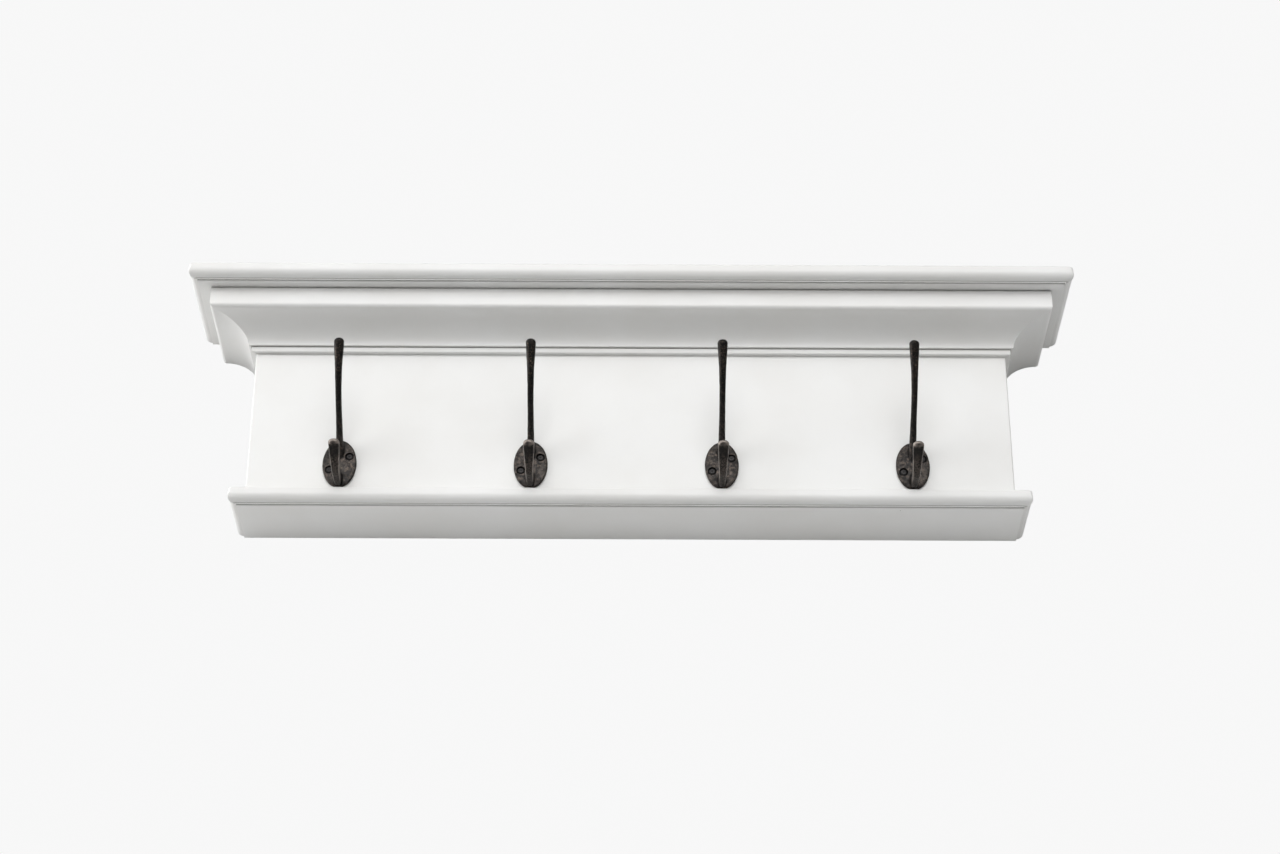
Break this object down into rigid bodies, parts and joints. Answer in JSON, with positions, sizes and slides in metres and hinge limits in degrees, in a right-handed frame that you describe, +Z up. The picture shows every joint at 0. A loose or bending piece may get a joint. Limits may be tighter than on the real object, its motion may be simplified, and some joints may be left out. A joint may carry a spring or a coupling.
{
  "type": "wall hook rack",
  "caption": "Painted wooden wall rack with a moulded shelf, a coved crown, a narrow ledge and cast iron hat-and-coat hooks.",
  "frame": {"origin": "middle of the hanging rail's rear face, on the wall plane", "axes": "+Z up, +Y into the wall so that the rack's front faces -Y, +X to the right of someone facing the rack"},
  "size_m": [0.85, 0.1368, 0.2326],
  "materials": {
    "painted_board": "satin white paint",
    "painted_moulding": "satin white paint",
    "bare_pine": "bare planed softwood",
    "beech_dowel": "bare fluted hardwood",
    "cast_iron_hook": "dark brown-black cast surface, worn brown on the tips",
    "black_screw": "black",
    "zinc_plate": "zinc plated",
    "zinc_screw": "zinc plated"
  },
  "bodies": {
    "root": {"shelf": "painted_board", "bottom_ledge": "painted_board", "front_board": "painted_board", "left_end_panel": "painted_board", "right_end_panel": "painted_board", "crown_front": "painted_moulding", "crown_left_return": "painted_moulding", "crown_right_return": "painted_moulding", "hanging_rail": "bare_pine", "spacer_rail": "bare_pine", "left_corner_block": "bare_pine", "right_corner_block": "bare_pine", "shelf_block_1": "bare_pine", "shelf_block_2": "bare_pine", "shelf_block_3": "bare_pine", "shelf_dowel_1": "beech_dowel", "ledge_dowel_1": "beech_dowel", "shelf_dowel_2": "beech_dowel", "ledge_dowel_2": "beech_dowel", "shelf_dowel_3": "beech_dowel", "ledge_dowel_3": "beech_dowel", "shelf_dowel_4": "beech_dowel", "ledge_dowel_4": "beech_dowel", "shelf_dowel_5": "beech_dowel", "ledge_dowel_5": "beech_dowel", "shelf_dowel_6": "beech_dowel", "ledge_dowel_6": "beech_dowel", "shelf_dowel_7": "beech_dowel", "ledge_dowel_7": "beech_dowel", "hook_1": "cast_iron_hook", "hook_1_screw_upper": "black_screw", "hook_1_screw_lower": "black_screw", "hook_2": "cast_iron_hook", "hook_2_screw_upper": "black_screw", "hook_2_screw_lower": "black_screw", "hook_3": "cast_iron_hook", "hook_3_screw_upper": "black_screw", "hook_3_screw_lower": "black_screw", "hook_4": "cast_iron_hook", "hook_4_screw_upper": "black_screw", "hook_4_screw_lower": "black_screw", "left_keyhole_plate": "zinc_plate", "left_plate_screw_left": "zinc_screw", "left_plate_screw_right": "zinc_screw", "right_keyhole_plate": "zinc_plate", "right_plate_screw_left": "zinc_screw", "right_plate_screw_right": "zinc_screw"}
  },
  "joints": []
}
